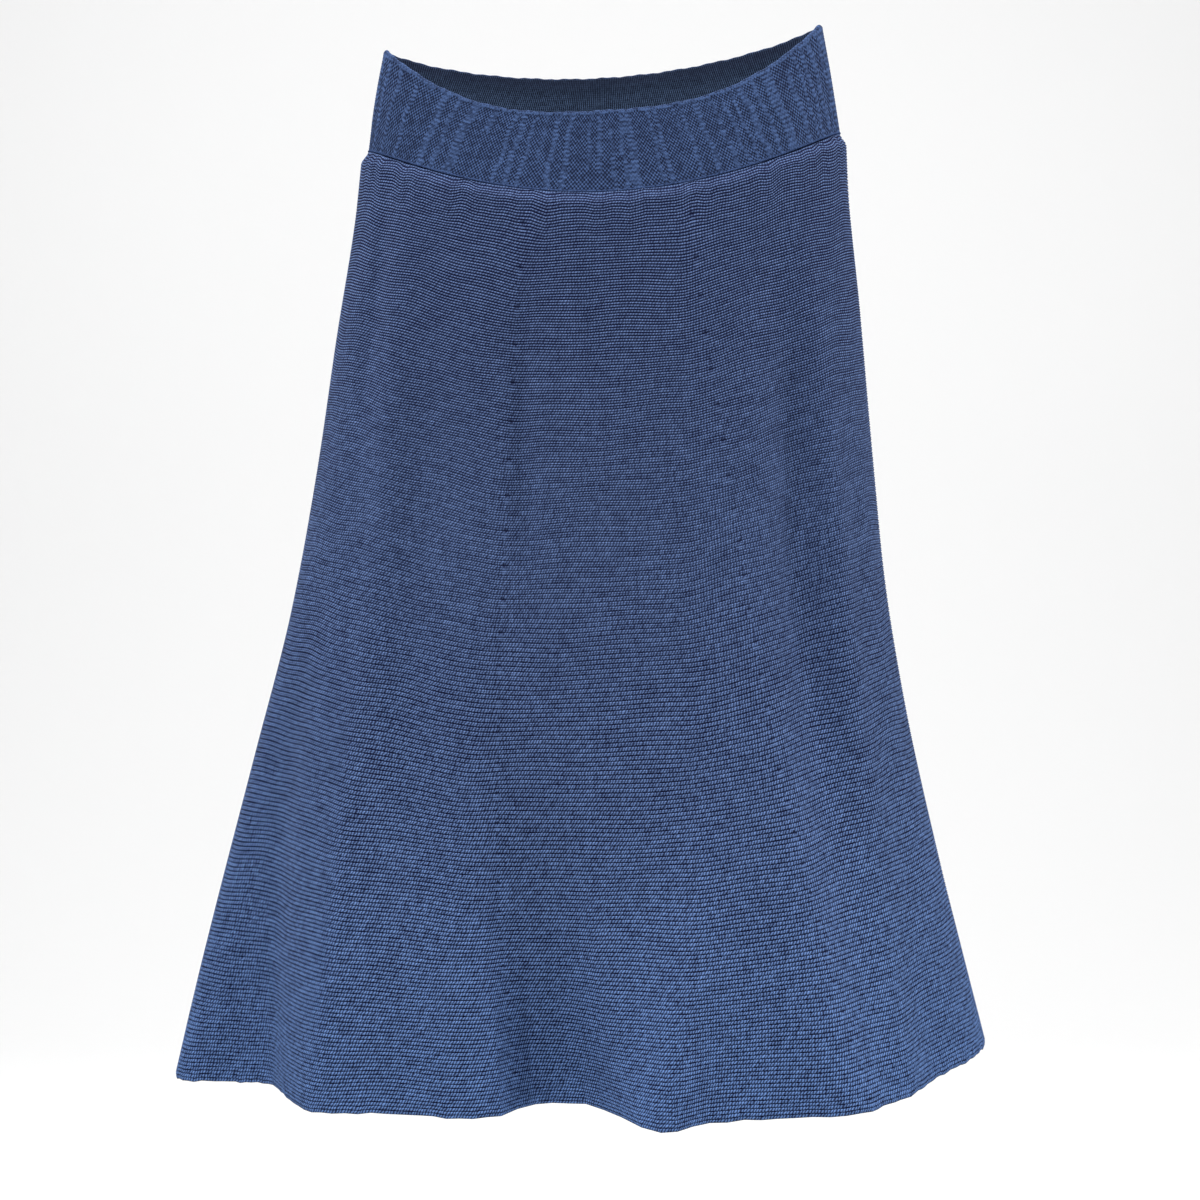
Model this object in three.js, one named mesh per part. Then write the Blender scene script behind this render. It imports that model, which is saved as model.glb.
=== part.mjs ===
// A knit midi skirt, hollow and filled out, as it hangs from its waist.
// Millimetres, +X to the wearer's left, which is right as seen from in front, +Y back, +Z up.
// The origin is the middle of the waist ring.
//
// Every wall is one surface of two values: f runs round the skirt (0 left seam, 0.5 centre front,
// 1 right seam, 1.5 centre back, 2 left seam again), and w runs down it (0 top, 1 bottom).
// A section is an oval from the tables below. Folds then move it in or out along its own normal.
import * as THREE from "three";

// ---------- driving sizes ----------
const KNIT_WALL = 2.8; // a thick purl knit
const BAND_WALL = 4.6; // the same knit doubled over an elastic
const SEAM_GAP = 0.3; // between pieces that are linked together
const BODY_TUCK = 4.6; // how far the body swells out just under the band
const TUCK_LENGTH = 0.014; // share of the body's length over which it swells

// Heights of the two sides. The right side is held a little higher than the left.
const TOP_LEFT = 12.7;
const TOP_RIGHT = 32.7;
const SEAM_LEFT = -65.3;
const SEAM_RIGHT = -51.3;
const HEM_LEFT = -777;
const HEM_RIGHT = -750;
const HEM_LIFT_POWER = 6; // how much of the hem's rise stays near the right seam

// Grid of each wall.
const COLUMNS = 68;
const BODY_ROWS = 18;
const BAND_ROWS = 3;

// ---------- section tables ----------
// down: share of the way down. left, right: reach of the sides. front, back: depth.
// round: 2 is an ellipse, more is boxier. frontDip, backDip: how far the row hangs below its ends.
const BODY_SECTIONS = [
  { down: 0.0, left: -182.8, right: 189.4, front: 60, back: 58, round: 2.1, frontDip: 47.6, backDip: 4 },
  { down: 0.06, left: -187.3, right: 191.2, front: 62, back: 60, round: 2.15, frontDip: 47, backDip: 4 },
  { down: 0.2, left: -202.8, right: 200.6, front: 68, back: 66, round: 2.2, frontDip: 46, backDip: 4 },
  { down: 0.35, left: -218.5, right: 209.7, front: 76, back: 75, round: 2.2, frontDip: 43, backDip: 3 },
  { down: 0.5, left: -238.3, right: 220.2, front: 88, back: 87, round: 2.15, frontDip: 38, backDip: 3 },
  { down: 0.65, left: -265.7, right: 237.9, front: 102, back: 100, round: 2.1, frontDip: 30, backDip: 2 },
  { down: 0.8, left: -293.5, right: 261.4, front: 115, back: 113, round: 2.05, frontDip: 18, backDip: 1 },
  { down: 0.9, left: -311.4, right: 278.7, front: 123, back: 121, round: 2, frontDip: 9, backDip: 0 },
  { down: 1.0, left: -328, right: 296.5, front: 130, back: 128, round: 2, frontDip: 0, backDip: 0 },
];
const BAND_SECTIONS = [
  { down: 0.0, left: -166.3, right: 171, front: 45, back: 45, round: 2, frontDip: 65.6, backDip: 20 },
  { down: 0.5, left: -173.4, right: 178.4, front: 50, back: 50, round: 2.05, frontDip: 56, backDip: 11 },
  { down: 1.0, left: -178.2, right: 184.8, front: 55.4, back: 53.4, round: 2.1, frontDip: 47.6, backDip: 4 },
];
// The front top edge is a flatter curve than the rows below it.
const FRONT_CURVE_TOP = 2.7;
const FRONT_CURVE_SEAM = 2;
const BACK_CURVE = 2;

// ---------- folds ----------
// Folds that open all the way down to the hem. around, hemAround: where each starts and ends, as f.
// from: share of the way down where it starts. power: how late it opens. narrow, wide: its half width
// at the start and at the hem, as f. out: its height at the hem, inwards where negative. sharp: 0 for a
// bell, 1 for an arch with a crease along both edges.
const HEM_FOLDS = [
  { around: 0.11, hemAround: 0.186, from: 0.33, power: 2, narrow: 0.045, wide: 0.062, out: -48, sharp: 0.2 }, // left flank valley
  { around: 0.08, hemAround: 0.1, from: 0.45, power: 2, narrow: 0.045, wide: 0.05, out: -25, sharp: 0 }, // flat left corner
  { around: 0.205, hemAround: 0.29, from: 0, power: 1.1, narrow: 0.04, wide: 0.04, out: 6, sharp: 0 }, // left crest
  { around: 0.64, hemAround: 0.625, from: 0.02, power: 1.6, narrow: 0.06, wide: 0.09, out: 26, sharp: 0 }, // long centre crest
  { around: 0.61, hemAround: 0.558, from: 0.62, power: 1.8, narrow: 0.03, wide: 0.023, out: 32, sharp: 0 }, // its steep end
  { around: 0.445, hemAround: 0.493, from: 0.55, power: 1.8, narrow: 0.024, wide: 0.03, out: -44, sharp: 1 }, // hem hollow
  { around: 0.422, hemAround: 0.455, from: 0.58, power: 1, narrow: 0.01, wide: 0.012, out: -5, sharp: 0 }, // hollow's left edge
  { around: 0.395, hemAround: 0.412, from: 0.65, power: 1.2, narrow: 0.03, wide: 0.032, out: 8, sharp: 0 }, // swell left of it
  { around: 0.68, hemAround: 0.704, from: 0.4, power: 1.5, narrow: 0.05, wide: 0.038, out: 28, sharp: 0 }, // right crest
  { around: 0.76, hemAround: 0.762, from: 0.4, power: 1.5, narrow: 0.04, wide: 0.034, out: 18, sharp: 0 }, // right flank
  { around: 1.18, hemAround: 1.205, from: 0.35, power: 1.8, narrow: 0.035, wide: 0.045, out: -42, sharp: 0 }, // back valleys
  { around: 1.46, hemAround: 1.49, from: 0.45, power: 1.8, narrow: 0.03, wide: 0.038, out: -46, sharp: 0 },
  { around: 1.74, hemAround: 1.765, from: 0.35, power: 1.8, narrow: 0.032, wide: 0.04, out: -36, sharp: 0 },
  { around: 1.33, hemAround: 1.35, from: 0.3, power: 1.4, narrow: 0.05, wide: 0.055, out: 18, sharp: 0 }, // back crests
  { around: 1.6, hemAround: 1.585, from: 0.4, power: 1.4, narrow: 0.045, wide: 0.045, out: 22, sharp: 0 },
];
// Soft folds of the hips, which fade out again. deepest, gone: shares of the way down.
const HIP_FOLDS = [
  { around: 0.165, hemAround: 0.24, from: 0, deepest: 0.12, gone: 0.45, narrow: 0.018, wide: 0.04, out: -3 },
  { around: 0.275, hemAround: 0.35, from: 0.05, deepest: 0.35, gone: 0.85, narrow: 0.05, wide: 0.06, out: -6 },
  { around: 0.39, hemAround: 0.52, from: 0.03, deepest: 0.25, gone: 0.55, narrow: 0.015, wide: 0.026, out: -7 },
  { around: 0.425, hemAround: 0.58, from: 0.05, deepest: 0.3, gone: 0.62, narrow: 0.02, wide: 0.04, out: 2 },
  { around: 0.475, hemAround: 0.6, from: 0.03, deepest: 0.14, gone: 0.32, narrow: 0.013, wide: 0.02, out: -4 },
  { around: 0.735, hemAround: 0.75, from: 0.03, deepest: 0.6, gone: 1.2, narrow: 0.028, wide: 0.03, out: -6 },
  { around: 0.795, hemAround: 0.8, from: 0.03, deepest: 0.5, gone: 1.3, narrow: 0.034, wide: 0.04, out: 8 },
  { around: 1.4, hemAround: 1.44, from: 0.03, deepest: 0.22, gone: 0.6, narrow: 0.02, wide: 0.03, out: -5 },
  { around: 1.68, hemAround: 1.66, from: 0.03, deepest: 0.22, gone: 0.6, narrow: 0.035, wide: 0.04, out: -5 },
];

// ---------- curves ----------
const clamp = (x) => Math.min(1, Math.max(0, x));
const mix = (a, b, t) => a + (b - a) * t;

// 0 before a, 1 after b, with level ends.
function ease(a, b, x) {
  const t = clamp((x - a) / (b - a));
  return t * t * (3 - 2 * t);
}

// The slope of a column at a row of a table: between its neighbours, each weighted by the other's step.
function slopeAt(table, i, column) {
  const step = (j) => table[j + 1].down - table[j].down;
  const rise = (j) => (table[j + 1][column] - table[j][column]) / step(j);
  if (i === 0) return rise(0);
  if (i === table.length - 1) return rise(i - 1);
  return (rise(i - 1) * step(i) + rise(i) * step(i - 1)) / (step(i - 1) + step(i));
}

// One column of a table at w, on a cubic through its rows.
function columnAt(table, w, column) {
  let i = 0;
  while (i < table.length - 2 && w >= table[i + 1].down) i += 1;
  const step = table[i + 1].down - table[i].down;
  const t = clamp((w - table[i].down) / step);
  const back = 1 - t;
  return (
    table[i][column] * (1 + 2 * t) * back * back +
    slopeAt(table, i, column) * step * t * back * back +
    table[i + 1][column] * t * t * (3 - 2 * t) +
    slopeAt(table, i + 1, column) * step * t * t * (t - 1)
  );
}

// A point of the oval at w: x, y, and u, its place across from -1 left to 1 right.
function oval(table, w, f) {
  const size = (column) => columnAt(table, w, column);
  const angle = Math.PI * (1 + f);
  const power = 2 / size("round");
  const u = Math.sign(Math.cos(angle)) * Math.abs(Math.cos(angle)) ** power;
  const depth = Math.abs(Math.sin(angle)) ** power;
  const middle = (size("left") + size("right")) / 2;
  const half = (size("right") - size("left")) / 2;
  const inFront = Math.sin(angle) < 0;
  const y = inFront ? -size("front") * depth : size("back") * depth;
  return { x: middle + half * u, y, u, inFront, dip: size(inFront ? "frontDip" : "backDip") };
}

// ---------- the two surfaces ----------
// The skirt's body without folds.
function smoothBody(w, f) {
  const p = oval(BODY_SECTIONS, w, f);
  const left = mix(SEAM_LEFT, HEM_LEFT, w);
  const right = mix(SEAM_RIGHT, HEM_RIGHT, w);
  const share = ((1 + p.u) / 2) ** (1 + HEM_LIFT_POWER * w * w);
  return [p.x, p.y, mix(left, right, share) - p.dip * (1 - p.u * p.u)];
}

// How far the folds and the swelling under the band move the body out at (w, f).
function bodyRelief(w, f) {
  let out = -BODY_TUCK * (1 - ease(0, TUCK_LENGTH, w));
  const add = (fold, height, down, sharp) => {
    const away = (((f - mix(fold.around, fold.hemAround, down) + 3) % 2) - 1) / mix(fold.narrow, fold.wide, down);
    out += height * mix(Math.exp(-(away ** 2)), clamp(1 - (away / 1.5) ** 2), sharp);
  };
  for (const fold of HEM_FOLDS) {
    const down = clamp((w - fold.from) / (1 - fold.from));
    add(fold, fold.out * down ** fold.power, down, fold.sharp);
  }
  for (const fold of HIP_FOLDS) {
    const down = clamp((w - fold.from) / (1 - fold.from));
    const height = ease(fold.from, fold.deepest, w) * (1 - ease(fold.deepest, fold.gone, w));
    add(fold, fold.out * height, down, 0);
  }
  return out;
}

function body(w, f) {
  const step = 1e-3;
  const [x, y, z] = smoothBody(w, f);
  const [x0, y0] = smoothBody(w, f - step);
  const [x1, y1] = smoothBody(w, f + step);
  const length = Math.hypot(x1 - x0, y1 - y0);
  const out = bodyRelief(w, f) / length;
  return [x + (y1 - y0) * out, y - (x1 - x0) * out, z];
}

function band(w, f) {
  const p = oval(BAND_SECTIONS, w, f);
  const left = mix(TOP_LEFT, SEAM_LEFT + SEAM_GAP, w);
  const right = mix(TOP_RIGHT, SEAM_RIGHT + SEAM_GAP, w);
  const curve = p.inFront ? mix(FRONT_CURVE_TOP, FRONT_CURVE_SEAM, w) : BACK_CURVE;
  return [p.x, p.y, mix(left, right, (1 + p.u) / 2) - p.dip * (1 - Math.abs(p.u) ** curve)];
}

// ---------- walls ----------
// The normal of a surface at (w, f), pointing away from the hollow.
function normalOf(surface, w, f) {
  const step = 1e-3;
  const at = (a, b) => new THREE.Vector3(...surface(clamp(a), b));
  const round = at(w, f + step).sub(at(w, f - step));
  const down = at(w + step, f).sub(at(w - step, f));
  return down.cross(round).normalize();
}

// A closed wall: the surface from f = start to start + 1, and the same points moved in by its thickness.
function wall(name, surface, start, thickness, rows, material) {
  const shift = start < 1 ? -SEAM_GAP / 2 : SEAM_GAP / 2;
  const positions = [];
  for (const depth of [0, thickness]) {
    for (let i = 0; i <= rows.length - 1; i += 1) {
      for (let j = 0; j <= COLUMNS; j += 1) {
        const f = start + j / COLUMNS;
        const [x, y, z] = surface(rows[i], f);
        const n = normalOf(surface, rows[i], f);
        n.z = 0; // the wall's edges stay level, so linked pieces meet face to face
        n.normalize();
        positions.push(x - n.x * depth, y - n.y * depth + shift, z);
      }
    }
  }
  const last = rows.length - 1;
  const layer = rows.length * (COLUMNS + 1);
  const id = (inner, i, j) => inner * layer + i * (COLUMNS + 1) + j;
  const faces = [];
  const quad = (a, b, c, d) => faces.push(a, b, c, a, c, d);
  for (let i = 0; i < last; i += 1) {
    for (let j = 0; j < COLUMNS; j += 1) {
      quad(id(0, i, j), id(0, i + 1, j), id(0, i + 1, j + 1), id(0, i, j + 1));
      quad(id(1, i, j), id(1, i, j + 1), id(1, i + 1, j + 1), id(1, i + 1, j));
    }
    quad(id(0, i, 0), id(1, i, 0), id(1, i + 1, 0), id(0, i + 1, 0));
    quad(id(0, i, COLUMNS), id(0, i + 1, COLUMNS), id(1, i + 1, COLUMNS), id(1, i, COLUMNS));
  }
  for (let j = 0; j < COLUMNS; j += 1) {
    quad(id(0, 0, j), id(0, 0, j + 1), id(1, 0, j + 1), id(1, 0, j));
    quad(id(0, last, j), id(1, last, j), id(1, last, j + 1), id(0, last, j + 1));
  }
  const geometry = new THREE.BufferGeometry();
  geometry.setAttribute("position", new THREE.Float32BufferAttribute(positions, 3));
  geometry.setIndex(faces);
  geometry.computeVertexNormals();
  const mesh = new THREE.Mesh(geometry, material);
  mesh.name = name;
  return mesh;
}

// Rows down the body: even steps, with two close ones where it swells out under the band.
function bodyRows() {
  const rows = [0, TUCK_LENGTH * 0.5, TUCK_LENGTH];
  const first = 0.045;
  const count = BODY_ROWS - rows.length;
  for (let i = 0; i <= count; i += 1) rows.push(mix(first, 1, i / count));
  return rows;
}

function bandRows() {
  return Array.from({ length: BAND_ROWS + 1 }, (_, i) => i / BAND_ROWS);
}

// ---------- materials ----------
const bodyKnit = new THREE.MeshStandardMaterial({ color: 0x45577d, roughness: 0.9, metalness: 0 });
const bandKnit = new THREE.MeshStandardMaterial({ color: 0x3c4f73, roughness: 0.92, metalness: 0 });

// ---------- the skirt ----------
const skirt = new THREE.Group();
skirt.add(
  wall("front_panel", body, 0, KNIT_WALL, bodyRows(), bodyKnit),
  wall("back_panel", body, 1, KNIT_WALL, bodyRows(), bodyKnit),
  wall("waistband_front", band, 0, BAND_WALL, bandRows(), bandKnit),
  wall("waistband_back", band, 1, BAND_WALL, bandRows(), bandKnit),
);

export default skirt;
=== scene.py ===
# %% [markdown]
# # A knit midi skirt, told in cells
# The skirt hangs hollow, as if someone unseen wore it. A imported frame holds its four plain cloth walls:
# two panels and the two halves of the waistband. Blender gives each its knit: about four hundred level
# ridges down the body, uneven columns on the waistband, the rows of increases along two gore lines, the
# linked seam and the folds. We start by loading the frame.

# %% Load the frame
import math

import bpy
import numpy as np
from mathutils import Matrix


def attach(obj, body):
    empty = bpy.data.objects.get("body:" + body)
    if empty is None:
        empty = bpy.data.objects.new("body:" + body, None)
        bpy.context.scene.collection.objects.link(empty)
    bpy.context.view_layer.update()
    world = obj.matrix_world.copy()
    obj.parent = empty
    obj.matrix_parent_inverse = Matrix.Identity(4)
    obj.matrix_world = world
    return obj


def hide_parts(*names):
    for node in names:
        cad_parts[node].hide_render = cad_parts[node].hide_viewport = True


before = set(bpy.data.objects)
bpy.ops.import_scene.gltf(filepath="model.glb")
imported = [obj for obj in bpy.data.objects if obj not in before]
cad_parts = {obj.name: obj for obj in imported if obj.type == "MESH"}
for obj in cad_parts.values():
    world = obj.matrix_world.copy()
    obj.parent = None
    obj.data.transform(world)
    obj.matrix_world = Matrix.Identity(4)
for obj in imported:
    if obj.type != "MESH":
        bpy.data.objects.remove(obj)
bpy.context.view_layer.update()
MM = 0.001
print("nodes:", sorted(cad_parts))

# %% [markdown]
# ## The shape of the cloth
# A skirt is a tube whose section changes on its way down. Sculpting it would lose its sizes, so each
# section is an oval with a name for every size: how far it reaches left and right, how deep it is in
# front and behind, how boxy it is, and how far the row hangs between its two ends, because the waist is
# held up at its corners. Sizes are in millimetres.

# %% Section tables
COLUMNS = ("down", "left", "right", "front", "back", "round", "front_dip", "back_dip")
BODY_SECTIONS = np.array(
    [
        (0.00, -182.8, 189.4, 60, 58, 2.10, 47.6, 4),
        (0.06, -187.3, 191.2, 62, 60, 2.15, 47.0, 4),
        (0.20, -202.8, 200.6, 68, 66, 2.20, 46.0, 4),
        (0.35, -218.5, 209.7, 76, 75, 2.20, 43.0, 3),
        (0.50, -238.3, 220.2, 88, 87, 2.15, 38.0, 3),
        (0.65, -265.7, 237.9, 102, 100, 2.10, 30.0, 2),
        (0.80, -293.5, 261.4, 115, 113, 2.05, 18.0, 1),
        (0.90, -311.4, 278.7, 123, 121, 2.00, 9.0, 0),
        (1.00, -328.0, 296.5, 130, 128, 2.00, 0.0, 0),
    ]
)
BAND_SECTIONS = np.array(
    [
        (0.0, -166.3, 171.0, 45.0, 45.0, 2.00, 65.6, 20),
        (0.5, -173.4, 178.4, 50.0, 50.0, 2.05, 56.0, 11),
        (1.0, -178.2, 184.8, 55.4, 53.4, 2.10, 47.6, 4),
    ]
)
TOP_LEFT, TOP_RIGHT = 12.7, 32.7
SEAM_LEFT, SEAM_RIGHT = -65.3, -51.3
HEM_LEFT, HEM_RIGHT = -777.0, -750.0
HEM_LIFT_POWER = 6
KNIT_WALL, BAND_WALL, SEAM_GAP = 2.8, 4.6, 0.3
BODY_TUCK, TUCK_LENGTH = 4.6, 0.014
FRONT_CURVE_TOP, FRONT_CURVE_SEAM, BACK_CURVE = 2.7, 2.0, 2.0
print(len(BODY_SECTIONS), "body sections,", len(BAND_SECTIONS), "band sections")

# %% [markdown]
# ## The folds
# Heavy knit hangs in a few soft folds. Most open on the way down and are deepest at the hem, and some
# soft ones on the hips fade out again. Each is a smooth ridge or trough beside the oval. Its place round
# the skirt goes from 0 at the left seam, over 0.5 at the centre front and 1 at the right seam, to 1.5 at
# the centre back.

# %% Fold tables
# around, at the hem, from, power, half width, at the hem, outwards in mm, how sharp its edges are
HEM_FOLDS = (
    (0.110, 0.186, 0.33, 2.0, 0.045, 0.062, -48, 0.2),
    (0.080, 0.100, 0.45, 2.0, 0.045, 0.050, -25, 0.0),
    (0.225, 0.305, 0.00, 0.9, 0.027, 0.032, 13, 0.0),
    (0.640, 0.625, 0.02, 1.6, 0.060, 0.090, 26, 0.0),
    (0.610, 0.558, 0.62, 1.8, 0.030, 0.023, 32, 0.0),
    (0.445, 0.493, 0.55, 1.8, 0.024, 0.030, -44, 1.0),
    (0.414, 0.456, 0.50, 1.0, 0.014, 0.018, -12, 0.0),
    (0.395, 0.412, 0.65, 1.2, 0.030, 0.032, 8, 0.0),
    (0.680, 0.704, 0.40, 1.5, 0.050, 0.038, 28, 0.0),
    (0.760, 0.762, 0.40, 1.5, 0.040, 0.034, 18, 0.0),
    (1.180, 1.205, 0.35, 1.8, 0.035, 0.045, -42, 0.0),
    (1.460, 1.490, 0.45, 1.8, 0.030, 0.038, -46, 0.0),
    (1.740, 1.765, 0.35, 1.8, 0.032, 0.040, -36, 0.0),
    (1.330, 1.350, 0.30, 1.4, 0.050, 0.055, 18, 0.0),
    (1.600, 1.585, 0.40, 1.4, 0.045, 0.045, 22, 0.0),
)
# around, at the hem, from, deepest, gone, half width, at the hem, outwards in mm
HIP_FOLDS = (
    (0.165, 0.240, 0.00, 0.12, 0.45, 0.018, 0.040, -3),
    (0.275, 0.350, 0.08, 0.45, 0.90, 0.050, 0.060, -7),
    (0.400, 0.500, 0.03, 0.30, 0.62, 0.014, 0.024, -8),
    (0.425, 0.580, 0.05, 0.30, 0.62, 0.020, 0.040, 2),
    (0.475, 0.600, 0.03, 0.14, 0.32, 0.013, 0.020, -4),
    (0.735, 0.750, 0.03, 0.42, 1.10, 0.034, 0.040, -13),
    (0.795, 0.800, 0.03, 0.50, 1.30, 0.034, 0.040, 7),
    (1.400, 1.440, 0.03, 0.22, 0.60, 0.020, 0.030, -5),
    (1.680, 1.660, 0.03, 0.22, 0.60, 0.035, 0.040, -5),
)
print(len(HEM_FOLDS) + len(HIP_FOLDS), "folds")


# %% [markdown]
# ## From tables to surfaces
# The rows of a table are joined by smooth cubics, so a section can be asked for at any height. The oval
# is a superellipse: cosine and sine, each raised to 2 over its roundness. A fold is a bell curve across
# the cloth, and it moves the oval along its own normal, seen from above.


# %% Curves
def ease(a, b, x):
    """0 before a and 1 after b, with level ends: t*t*(3 - 2t)."""
    t = np.clip((x - a) / (b - a), 0, 1)
    return t * t * (3 - 2 * t)


def mix(a, b, t):
    """The straight line from a to b."""
    return a + (b - a) * t


def sizes_at(table, w):
    """Every column of a table at the heights w: a cubic through its rows, with the rows' own slopes."""
    x, y = table[:, 0], table[:, 1:]
    slope = np.gradient(y, x, axis=0)
    i = np.clip(np.searchsorted(x, w, side="right") - 1, 0, len(x) - 2)
    step = (x[i + 1] - x[i])[..., None]
    t = np.clip((w - x[i])[..., None] / step, 0, 1)
    value = y[i] * (1 + 2 * t) * (1 - t) ** 2 + y[i + 1] * t * t * (3 - 2 * t)
    value += slope[i] * step * t * (1 - t) ** 2 + slope[i + 1] * step * t * t * (t - 1)
    return dict(zip(COLUMNS[1:], np.moveaxis(value, -1, 0)))


def oval(table, w, f):
    """x, y, the place across from -1 to 1, whether it is in front, and how far the row dips."""
    s = sizes_at(table, w)
    angle = math.pi * (1 + f)
    power = 2 / s["round"]
    across = np.sign(np.cos(angle)) * np.abs(np.cos(angle)) ** power
    depth = np.abs(np.sin(angle)) ** power
    in_front = np.sin(angle) < 0
    x = (s["left"] + s["right"]) / 2 + (s["right"] - s["left"]) / 2 * across
    y = np.where(in_front, -s["front"], s["back"]) * depth
    return x, y, across, in_front, np.where(in_front, s["front_dip"], s["back_dip"])


# %% [markdown]
# ## The body's surface
# On the real skirt the rows of knitting run level in the middle and climb to the sides outside the gore
# lines. The surface is made in steps that can be read apart: the oval, the row's own curve, and the
# folds, which move it along the oval's normal. Blender's cloth simulation could drape a tube too, but it
# would choose the folds by itself, and here each has its place.

# %% The body's surface
KINK_AT = 0.30  # where the rows bend upwards, as a share of the half width
KINK_ROUND = 0.004  # how gently they bend there
KINK_SHARE = 0.8  # how much of the kinked line shows, against the parabola
ARCH_HALF = 1.5  # half of a sharp arch, in half widths of its bell


def row_curve(across, w):
    """How a row rises to its ends: level between the gores and straight outside them, as increases make
    it, which is the root of (distance past the bend squared + a little). Next to the band and at the hem
    it is a plain parabola."""
    outside = np.clip((np.abs(across) - KINK_AT) / (1 - KINK_AT), 0, 1)
    kinked = np.sqrt(outside**2 + KINK_ROUND) - math.sqrt(KINK_ROUND)
    share = ease(0.0, 0.1, w) * (1 - ease(0.75, 1.0, w)) * KINK_SHARE
    return mix(across**2, kinked, share)


def smooth_body(w, f):
    """The skirt without folds: the oval, with its two sides at their heights and the row's own curve."""
    x, y, across, _, dip = oval(BODY_SECTIONS, w, f)
    left, right = mix(SEAM_LEFT, HEM_LEFT, w), mix(SEAM_RIGHT, HEM_RIGHT, w)
    share = ((1 + across) / 2) ** (1 + HEM_LIFT_POWER * w * w)
    return x, y, mix(left, right, share) - dip * (1 - row_curve(across, w))


def body_relief(w, f):
    """How far the folds move the body outwards, in mm: bells whose place, width and height change
    with the height, and the swelling just under the band."""
    out = -BODY_TUCK * (1 - ease(0, TUCK_LENGTH, w)) + 0 * f

    def bell(start, end, narrow, wide, down, sharp=0.0):
        """exp(-a*a) for a soft fold and 1 - a*a, cut off at 0, for a sharp arch; a is 0 on its crest."""
        away = ((f - mix(start, end, down) + 3) % 2 - 1) / mix(narrow, wide, down)
        return mix(np.exp(-(away**2)), np.clip(1 - (away / ARCH_HALF) ** 2, 0, 1), sharp)

    for start, end, top, power, narrow, wide, height, sharp in HEM_FOLDS:
        down = np.clip((w - top) / (1 - top), 0, 1)
        out = out + height * down**power * bell(start, end, narrow, wide, down, sharp)
    for start, end, top, deepest, gone, narrow, wide, height in HIP_FOLDS:
        down = np.clip((w - top) / (1 - top), 0, 1)
        fades = ease(top, deepest, w) * (1 - ease(deepest, gone, w))
        out = out + height * fades * bell(start, end, narrow, wide, down)
    return out


def body(w, f):
    """The folded body: points in mm at the heights w and the places f, moved along the oval's normal."""
    step = 1e-3
    x, y, z = smooth_body(w, f)
    x0, y0, _ = smooth_body(w, f - step)
    x1, y1, _ = smooth_body(w, f + step)
    out = body_relief(w, f) / np.hypot(x1 - x0, y1 - y0)
    return np.stack([x + (y1 - y0) * out, y - (x1 - x0) * out, z], -1)


def band(w, f):
    """The waistband: an oval that leans outwards on its way down, highest at its two corners."""
    x, y, across, in_front, dip = oval(BAND_SECTIONS, w, f)
    left = mix(TOP_LEFT, SEAM_LEFT + SEAM_GAP, w)
    right = mix(TOP_RIGHT, SEAM_RIGHT + SEAM_GAP, w)
    curve = np.where(in_front, mix(FRONT_CURVE_TOP, FRONT_CURVE_SEAM, w), BACK_CURVE)
    z = mix(left, right, (1 + across) / 2) - dip * (1 - np.abs(across) ** curve)
    return np.stack([x, y, z], -1)


def outward(points):
    """The outward normal at each point of a grid whose rows go down and whose columns go round: the
    step down crossed with the step round, at length 1."""
    down, across = np.gradient(points, axis=0), np.gradient(points, axis=1)
    normal = np.cross(down, across)
    return normal / np.linalg.norm(normal, axis=-1, keepdims=True)


# %% [markdown]
# ## Counting rows and stitches
# The fabric is a purl knit: every row of knitting stands up as a ridge, and each second gap between two
# ridges is deeper. Rows are taller near the waist, where the cloth is stretched. A row number and a
# stitch number go with every point as its UV map, so colour and fine relief follow the knitting.

# %% The knit's measures
ROWS_AT_TOP, ROWS_GROWTH = 320.0, 76.0  # rows down the body: 320 w + 76 w squared
RIDGES = int(ROWS_AT_TOP + ROWS_GROWTH)
STITCH = 2.2  # mm
MARK_EVERY, FIRST_MARK = 14, 12  # rows between two increases, and the first one's row
# Where the two gore lines of each side run: share of the way down, left line, right line
FRONT_GORES = np.array(
    [
        (0.00, 0.404, 0.602),
        (0.16, 0.408, 0.617),
        (0.50, 0.418, 0.667),
        (0.80, 0.437, 0.700),
        (1.00, 0.455, 0.718),
    ]
)
BACK_GORES = np.array([(0, 1.385, 1.615), (0.5, 1.35, 1.65), (1, 1.315, 1.685)])


def height_of_row(v):
    """The share of the way down at which row v lies: the root of 76 w*w + 320 w = v."""
    return (-ROWS_AT_TOP + np.sqrt(ROWS_AT_TOP**2 + 4 * ROWS_GROWTH * v)) / (2 * ROWS_GROWTH)


def wobble(w, f):
    """How far a row strays from its line, as a share of the body's length: a few slow waves, and
    quicker ones in the first rows under the band, where the linking pulls the loops."""
    slow = np.sin(29 * f + 26 * w) + 0.8 * np.sin(47 * f - 19 * w + 1.3)
    slow = slow + 0.6 * np.sin(71 * f + 37 * w + 0.4)
    quick = np.sin(86 * f + 2.1) + 0.9 * np.sin(131 * f + 0.7) + 0.7 * np.sin(193 * f)
    size = mix(0.0009, 0.0006, w) * np.minimum(ease(0, 0.03, w), 1 - ease(0.97, 1, w))
    return size * slow + 0.001 * quick * ease(0, 0.004, w) * (1 - ease(0.02, 0.07, w))


def hem_rough(w, f):
    """How far the cast-on edge is pulled up, as a share of the body's length: about a millimetre."""
    pull = 2 + 0.8 * np.sin(83 * f + 0.4) + 0.9 * np.sin(161 * f + 2.0) + 1.1 * np.sin(277 * f)
    return 0.0005 * pull * ease(0.975, 1.0, w)


# %% [markdown]
# ## A closed shell from two grids
# The outside of a panel needs thousands of points and its inside few. Both grids have the same
# columns, and the inside has one row for each group of rows outside. Quads join their upper and lower
# edges, and small fans join their sides, so the shell is closed and has a volume.


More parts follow.
